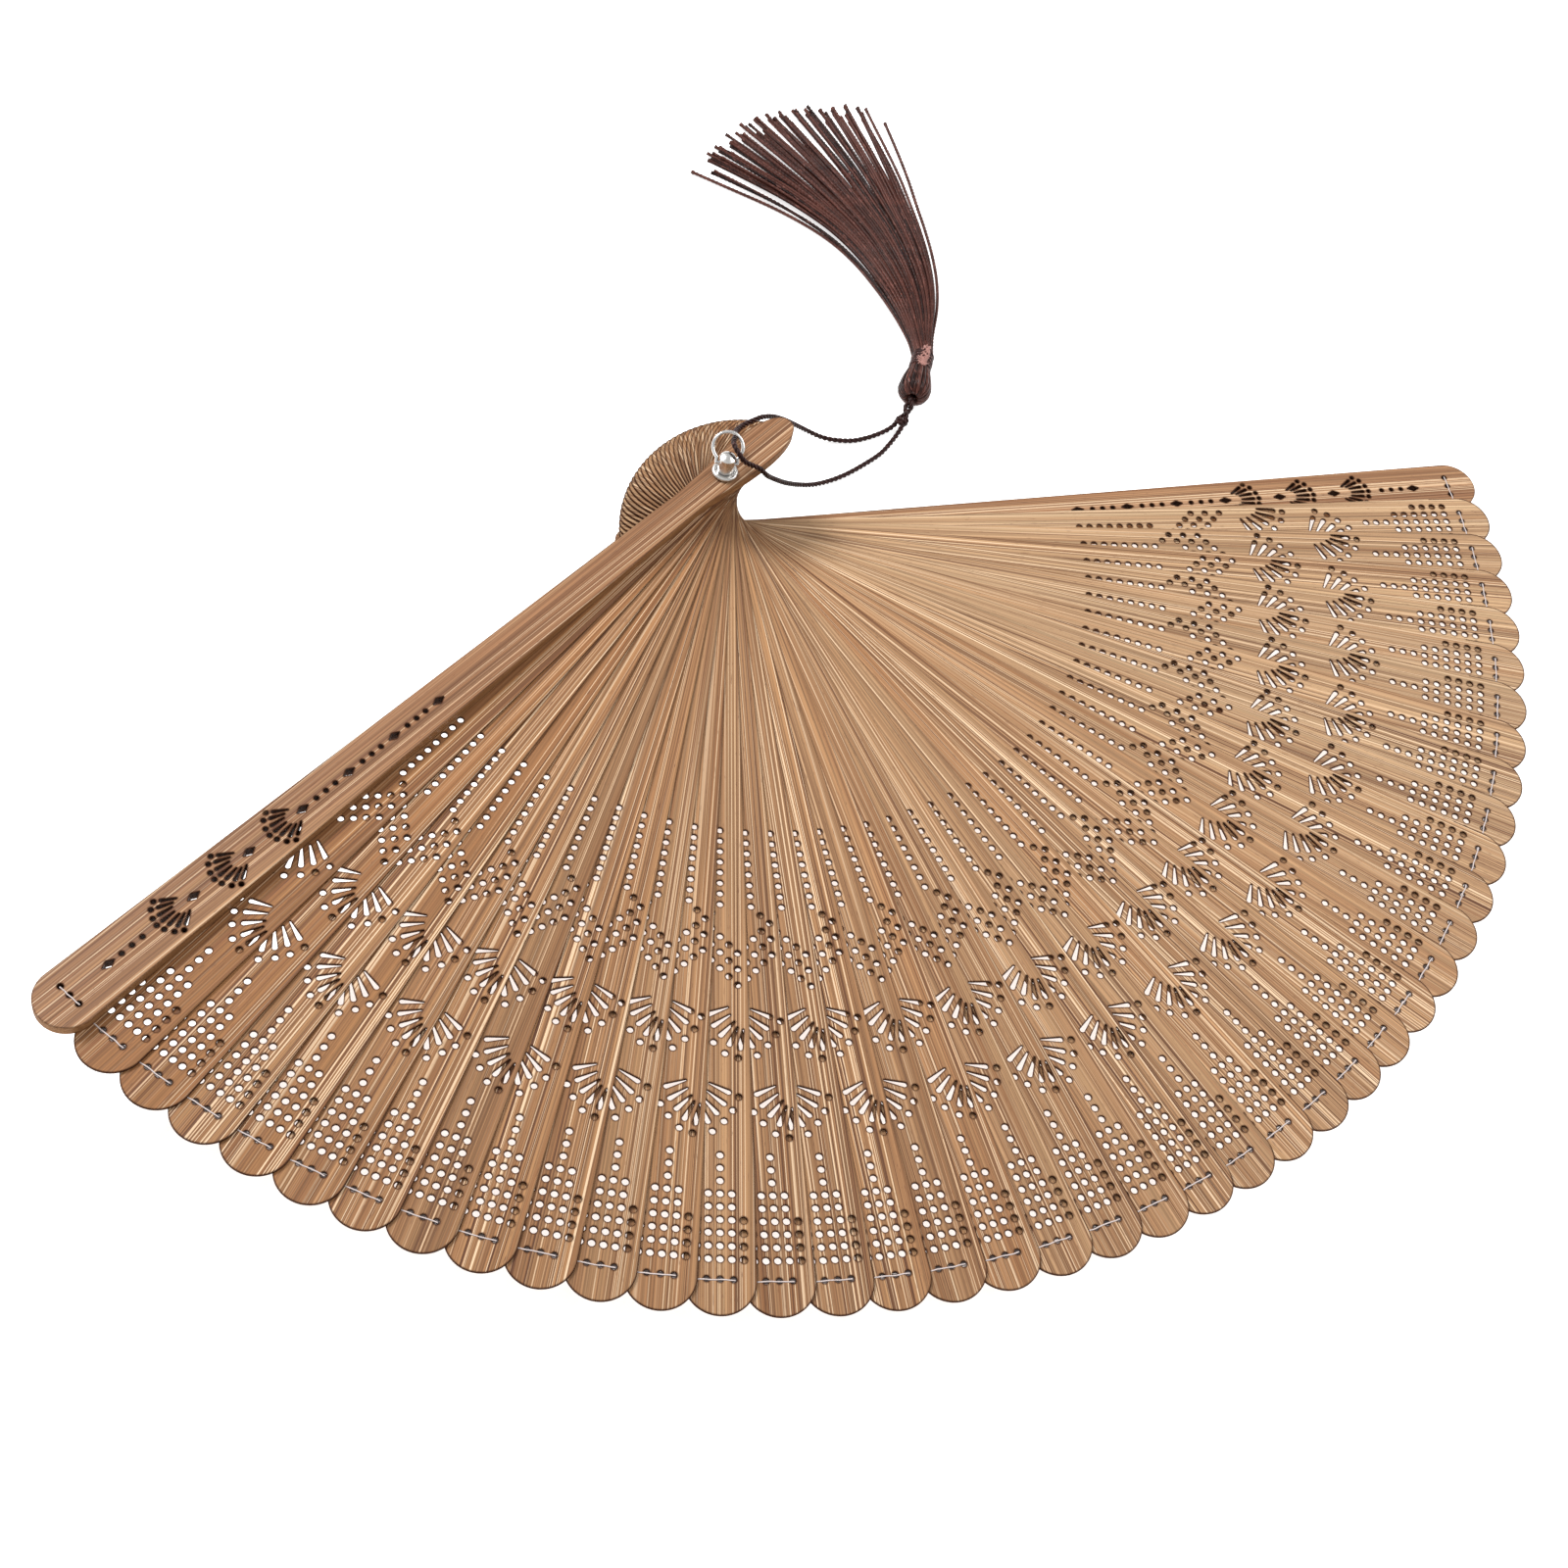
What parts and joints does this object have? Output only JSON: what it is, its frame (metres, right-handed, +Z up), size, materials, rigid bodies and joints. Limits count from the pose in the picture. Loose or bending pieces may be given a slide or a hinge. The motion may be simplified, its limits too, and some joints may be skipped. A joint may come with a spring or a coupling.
{
  "type": "folding hand fan",
  "caption": "Open folding hand fan of thin pierced wooden leaves between two guards on one rivet, with a wire ring and a silky cord tassel.",
  "frame": {"origin": "on the rivet's axis, in the plane of the lower guard's underside", "axes": "+Z up along the rivet towards the tassel ring, +X along the lower guard towards its tip; the leaves fan out through -Y to the upper guard"},
  "size_m": [0.3722, 0.3533, 0.0347],
  "materials": {
    "leaf_bamboo": "fine lengthwise grain, smooth satin, pierced edges lightly scorched",
    "guard_bamboo": "redder lengthwise grain, smooth satin",
    "rivet_metal": "bright plated, lightly worn",
    "ring_wire": "bright plated wire",
    "cord_silk": "tight twisted cord, soft sheen",
    "tassel_silk": "fine twisted threads, silky sheen",
    "binding_silk": "wrapped thread, silky sheen",
    "white_thread": "fine translucent thread"
  },
  "bodies": {
    "root": {"front_guard": "guard_bamboo", "pivot_pin": "rivet_metal", "top_washer": "rivet_metal", "tail_washer": "rivet_metal", "tassel_cord": "cord_silk", "cord_knot": "cord_silk", "tassel_head": "tassel_silk", "tassel_binding": "binding_silk", "tassel_skirt": "tassel_silk"},
    "back_guard": {"back_guard": "guard_bamboo"},
    "leaf_01": {"leaf_01": "leaf_bamboo"},
    "leaf_02": {"leaf_02": "leaf_bamboo"},
    "leaf_03": {"leaf_03": "leaf_bamboo"},
    "leaf_04": {"leaf_04": "leaf_bamboo"},
    "leaf_05": {"leaf_05": "leaf_bamboo"},
    "leaf_06": {"leaf_06": "leaf_bamboo"},
    "leaf_07": {"leaf_07": "leaf_bamboo"},
    "leaf_08": {"leaf_08": "leaf_bamboo"},
    "leaf_09": {"leaf_09": "leaf_bamboo"},
    "leaf_10": {"leaf_10": "leaf_bamboo"},
    "leaf_11": {"leaf_11": "leaf_bamboo"},
    "leaf_12": {"leaf_12": "leaf_bamboo"},
    "leaf_13": {"leaf_13": "leaf_bamboo"},
    "leaf_14": {"leaf_14": "leaf_bamboo"},
    "leaf_15": {"leaf_15": "leaf_bamboo"},
    "leaf_16": {"leaf_16": "leaf_bamboo"},
    "leaf_17": {"leaf_17": "leaf_bamboo"},
    "leaf_18": {"leaf_18": "leaf_bamboo"},
    "leaf_19": {"leaf_19": "leaf_bamboo"},
    "leaf_20": {"leaf_20": "leaf_bamboo"},
    "leaf_21": {"leaf_21": "leaf_bamboo"},
    "leaf_22": {"leaf_22": "leaf_bamboo"},
    "leaf_23": {"leaf_23": "leaf_bamboo"},
    "leaf_24": {"leaf_24": "leaf_bamboo"},
    "leaf_25": {"leaf_25": "leaf_bamboo"},
    "leaf_26": {"leaf_26": "leaf_bamboo"},
    "leaf_27": {"leaf_27": "leaf_bamboo"},
    "leaf_28": {"leaf_28": "leaf_bamboo"},
    "leaf_29": {"leaf_29": "leaf_bamboo"},
    "leaf_30": {"leaf_30": "leaf_bamboo"},
    "leaf_31": {"leaf_31": "leaf_bamboo"},
    "leaf_32": {"leaf_32": "leaf_bamboo"},
    "leaf_33": {"leaf_33": "leaf_bamboo"},
    "leaf_34": {"leaf_34": "leaf_bamboo"},
    "leaf_35": {"leaf_35": "leaf_bamboo"},
    "leaf_36": {"leaf_36": "leaf_bamboo"},
    "leaf_37": {"leaf_37": "leaf_bamboo"},
    "leaf_38": {"leaf_38": "leaf_bamboo"},
    "leaf_39": {"leaf_39": "leaf_bamboo"},
    "leaf_40": {"leaf_40": "leaf_bamboo"},
    "ring": {"tassel_ring": "ring_wire"}
  },
  "joints": [
    {"name": "fan_closing", "type": "hinge", "parent": "root", "child": "back_guard", "pos_m": [0, 0, 0.0013], "axis": [0, 0, -1], "range_deg": [0, 142.3]},
    {"name": "leaf_01_turn", "type": "hinge", "parent": "root", "child": "leaf_01", "pos_m": [0, 0, 0.00288], "axis": [0, 0, -1], "range_deg": [0, 139.03]},
    {"name": "leaf_02_turn", "type": "hinge", "parent": "root", "child": "leaf_02", "pos_m": [0, 0, 0.00342], "axis": [0, 0, -1], "range_deg": [0, 135.56]},
    {"name": "leaf_03_turn", "type": "hinge", "parent": "root", "child": "leaf_03", "pos_m": [0, 0, 0.00394], "axis": [0, 0, -1], "range_deg": [0, 132.09]},
    {"name": "leaf_04_turn", "type": "hinge", "parent": "root", "child": "leaf_04", "pos_m": [0, 0, 0.00447], "axis": [0, 0, -1], "range_deg": [0, 128.62]},
    {"name": "leaf_05_turn", "type": "hinge", "parent": "root", "child": "leaf_05", "pos_m": [0, 0, 0.005], "axis": [0, 0, -1], "range_deg": [0, 125.15]},
    {"name": "leaf_06_turn", "type": "hinge", "parent": "root", "child": "leaf_06", "pos_m": [0, 0, 0.00553], "axis": [0, 0, -1], "range_deg": [0, 121.68]},
    {"name": "leaf_07_turn", "type": "hinge", "parent": "root", "child": "leaf_07", "pos_m": [0, 0, 0.00607], "axis": [0, 0, -1], "range_deg": [0, 118.2]},
    {"name": "leaf_08_turn", "type": "hinge", "parent": "root", "child": "leaf_08", "pos_m": [0, 0, 0.0066], "axis": [0, 0, -1], "range_deg": [0, 114.73]},
    {"name": "leaf_09_turn", "type": "hinge", "parent": "root", "child": "leaf_09", "pos_m": [0, 0, 0.00713], "axis": [0, 0, -1], "range_deg": [0, 111.26]},
    {"name": "leaf_10_turn", "type": "hinge", "parent": "root", "child": "leaf_10", "pos_m": [0, 0, 0.00766], "axis": [0, 0, -1], "range_deg": [0, 107.79]},
    {"name": "leaf_11_turn", "type": "hinge", "parent": "root", "child": "leaf_11", "pos_m": [0, 0, 0.00818], "axis": [0, 0, -1], "range_deg": [0, 104.32]},
    {"name": "leaf_12_turn", "type": "hinge", "parent": "root", "child": "leaf_12", "pos_m": [0, 0, 0.00872], "axis": [0, 0, -1], "range_deg": [0, 100.85]},
    {"name": "leaf_13_turn", "type": "hinge", "parent": "root", "child": "leaf_13", "pos_m": [0, 0, 0.00924], "axis": [0, 0, -1], "range_deg": [0, 97.38]},
    {"name": "leaf_14_turn", "type": "hinge", "parent": "root", "child": "leaf_14", "pos_m": [0, 0, 0.00978], "axis": [0, 0, -1], "range_deg": [0, 93.91]},
    {"name": "leaf_15_turn", "type": "hinge", "parent": "root", "child": "leaf_15", "pos_m": [0, 0, 0.0103], "axis": [0, 0, -1], "range_deg": [0, 90.44]},
    {"name": "leaf_16_turn", "type": "hinge", "parent": "root", "child": "leaf_16", "pos_m": [0, 0, 0.01083], "axis": [0, 0, -1], "range_deg": [0, 86.97]},
    {"name": "leaf_17_turn", "type": "hinge", "parent": "root", "child": "leaf_17", "pos_m": [0, 0, 0.01137], "axis": [0, 0, -1], "range_deg": [0, 83.5]},
    {"name": "leaf_18_turn", "type": "hinge", "parent": "root", "child": "leaf_18", "pos_m": [0, 0, 0.01189], "axis": [0, 0, -1], "range_deg": [0, 80.03]},
    {"name": "leaf_19_turn", "type": "hinge", "parent": "root", "child": "leaf_19", "pos_m": [0, 0, 0.01243], "axis": [0, 0, -1], "range_deg": [0, 76.56]},
    {"name": "leaf_20_turn", "type": "hinge", "parent": "root", "child": "leaf_20", "pos_m": [0, 0, 0.01295], "axis": [0, 0, -1], "range_deg": [0, 73.09]},
    {"name": "leaf_21_turn", "type": "hinge", "parent": "root", "child": "leaf_21", "pos_m": [0, 0, 0.01349], "axis": [0, 0, -1], "range_deg": [0, 69.61]},
    {"name": "leaf_22_turn", "type": "hinge", "parent": "root", "child": "leaf_22", "pos_m": [0, 0, 0.01401], "axis": [0, 0, -1], "range_deg": [0, 66.14]},
    {"name": "leaf_23_turn", "type": "hinge", "parent": "root", "child": "leaf_23", "pos_m": [0, 0, 0.01455], "axis": [0, 0, -1], "range_deg": [0, 62.67]},
    {"name": "leaf_24_turn", "type": "hinge", "parent": "root", "child": "leaf_24", "pos_m": [0, 0, 0.01507], "axis": [0, 0, -1], "range_deg": [0, 59.2]},
    {"name": "leaf_25_turn", "type": "hinge", "parent": "root", "child": "leaf_25", "pos_m": [0, 0, 0.01561], "axis": [0, 0, -1], "range_deg": [0, 55.73]},
    {"name": "leaf_26_turn", "type": "hinge", "parent": "root", "child": "leaf_26", "pos_m": [0, 0, 0.01614], "axis": [0, 0, -1], "range_deg": [0, 52.26]},
    {"name": "leaf_27_turn", "type": "hinge", "parent": "root", "child": "leaf_27", "pos_m": [0, 0, 0.01666], "axis": [0, 0, -1], "range_deg": [0, 48.79]},
    {"name": "leaf_28_turn", "type": "hinge", "parent": "root", "child": "leaf_28", "pos_m": [0, 0, 0.01719], "axis": [0, 0, -1], "range_deg": [0, 45.32]},
    {"name": "leaf_29_turn", "type": "hinge", "parent": "root", "child": "leaf_29", "pos_m": [0, 0, 0.01773], "axis": [0, 0, -1], "range_deg": [0, 41.85]},
    {"name": "leaf_30_turn", "type": "hinge", "parent": "root", "child": "leaf_30", "pos_m": [0, 0, 0.01826], "axis": [0, 0, -1], "range_deg": [0, 38.38]},
    {"name": "leaf_31_turn", "type": "hinge", "parent": "root", "child": "leaf_31", "pos_m": [0, 0, 0.01878], "axis": [0, 0, -1], "range_deg": [0, 34.91]},
    {"name": "leaf_32_turn", "type": "hinge", "parent": "root", "child": "leaf_32", "pos_m": [0, 0, 0.01931], "axis": [0, 0, -1], "range_deg": [0, 31.44]},
    {"name": "leaf_33_turn", "type": "hinge", "parent": "root", "child": "leaf_33", "pos_m": [0, 0, 0.01985], "axis": [0, 0, -1], "range_deg": [0, 27.97]},
    {"name": "leaf_34_turn", "type": "hinge", "parent": "root", "child": "leaf_34", "pos_m": [0, 0, 0.02038], "axis": [0, 0, -1], "range_deg": [0, 24.5]},
    {"name": "leaf_35_turn", "type": "hinge", "parent": "root", "child": "leaf_35", "pos_m": [0, 0, 0.0209], "axis": [0, 0, -1], "range_deg": [0, 21.02]},
    {"name": "leaf_36_turn", "type": "hinge", "parent": "root", "child": "leaf_36", "pos_m": [0, 0, 0.02143], "axis": [0, 0, -1], "range_deg": [0, 17.55]},
    {"name": "leaf_37_turn", "type": "hinge", "parent": "root", "child": "leaf_37", "pos_m": [0, 0, 0.02196], "axis": [0, 0, -1], "range_deg": [0, 14.08]},
    {"name": "leaf_38_turn", "type": "hinge", "parent": "root", "child": "leaf_38", "pos_m": [0, 0, 0.0225], "axis": [0, 0, -1], "range_deg": [0, 10.61]},
    {"name": "leaf_39_turn", "type": "hinge", "parent": "root", "child": "leaf_39", "pos_m": [0, 0, 0.02303], "axis": [0, 0, -1], "range_deg": [0, 7.14]},
    {"name": "leaf_40_turn", "type": "hinge", "parent": "root", "child": "leaf_40", "pos_m": [0, 0, 0.02355], "axis": [0, 0, -1], "range_deg": [0, 3.67]},
    {"name": "ring_swing", "type": "hinge", "parent": "root", "child": "ring", "pos_m": [0, 0, 0.02994], "axis": [0.9781, -0.2079, 0], "range_deg": [-3, 26]}
  ],
  "couplings": [
    {"joint": "leaf_01_turn", "follows": "fan_closing", "ratio": 0.97561},
    {"joint": "leaf_02_turn", "follows": "fan_closing", "ratio": 0.95122},
    {"joint": "leaf_03_turn", "follows": "fan_closing", "ratio": 0.92683},
    {"joint": "leaf_04_turn", "follows": "fan_closing", "ratio": 0.90244},
    {"joint": "leaf_05_turn", "follows": "fan_closing", "ratio": 0.87805},
    {"joint": "leaf_06_turn", "follows": "fan_closing", "ratio": 0.85366},
    {"joint": "leaf_07_turn", "follows": "fan_closing", "ratio": 0.82927},
    {"joint": "leaf_08_turn", "follows": "fan_closing", "ratio": 0.80488},
    {"joint": "leaf_09_turn", "follows": "fan_closing", "ratio": 0.78049},
    {"joint": "leaf_10_turn", "follows": "fan_closing", "ratio": 0.7561},
    {"joint": "leaf_11_turn", "follows": "fan_closing", "ratio": 0.73171},
    {"joint": "leaf_12_turn", "follows": "fan_closing", "ratio": 0.70732},
    {"joint": "leaf_13_turn", "follows": "fan_closing", "ratio": 0.68293},
    {"joint": "leaf_14_turn", "follows": "fan_closing", "ratio": 0.65854},
    {"joint": "leaf_15_turn", "follows": "fan_closing", "ratio": 0.63415},
    {"joint": "leaf_16_turn", "follows": "fan_closing", "ratio": 0.60976},
    {"joint": "leaf_17_turn", "follows": "fan_closing", "ratio": 0.58537},
    {"joint": "leaf_18_turn", "follows": "fan_closing", "ratio": 0.56098},
    {"joint": "leaf_19_turn", "follows": "fan_closing", "ratio": 0.53658},
    {"joint": "leaf_20_turn", "follows": "fan_closing", "ratio": 0.51219},
    {"joint": "leaf_21_turn", "follows": "fan_closing", "ratio": 0.4878},
    {"joint": "leaf_22_turn", "follows": "fan_closing", "ratio": 0.46342},
    {"joint": "leaf_23_turn", "follows": "fan_closing", "ratio": 0.43902},
    {"joint": "leaf_24_turn", "follows": "fan_closing", "ratio": 0.41463},
    {"joint": "leaf_25_turn", "follows": "fan_closing", "ratio": 0.39024},
    {"joint": "leaf_26_turn", "follows": "fan_closing", "ratio": 0.36585},
    {"joint": "leaf_27_turn", "follows": "fan_closing", "ratio": 0.34146},
    {"joint": "leaf_28_turn", "follows": "fan_closing", "ratio": 0.31707},
    {"joint": "leaf_29_turn", "follows": "fan_closing", "ratio": 0.29268},
    {"joint": "leaf_30_turn", "follows": "fan_closing", "ratio": 0.26829},
    {"joint": "leaf_31_turn", "follows": "fan_closing", "ratio": 0.2439},
    {"joint": "leaf_32_turn", "follows": "fan_closing", "ratio": 0.21951},
    {"joint": "leaf_33_turn", "follows": "fan_closing", "ratio": 0.19512},
    {"joint": "leaf_34_turn", "follows": "fan_closing", "ratio": 0.17073},
    {"joint": "leaf_35_turn", "follows": "fan_closing", "ratio": 0.14634},
    {"joint": "leaf_36_turn", "follows": "fan_closing", "ratio": 0.12195},
    {"joint": "leaf_37_turn", "follows": "fan_closing", "ratio": 0.097561},
    {"joint": "leaf_38_turn", "follows": "fan_closing", "ratio": 0.073171},
    {"joint": "leaf_39_turn", "follows": "fan_closing", "ratio": 0.04878},
    {"joint": "leaf_40_turn", "follows": "fan_closing", "ratio": 0.02439}
  ]
}
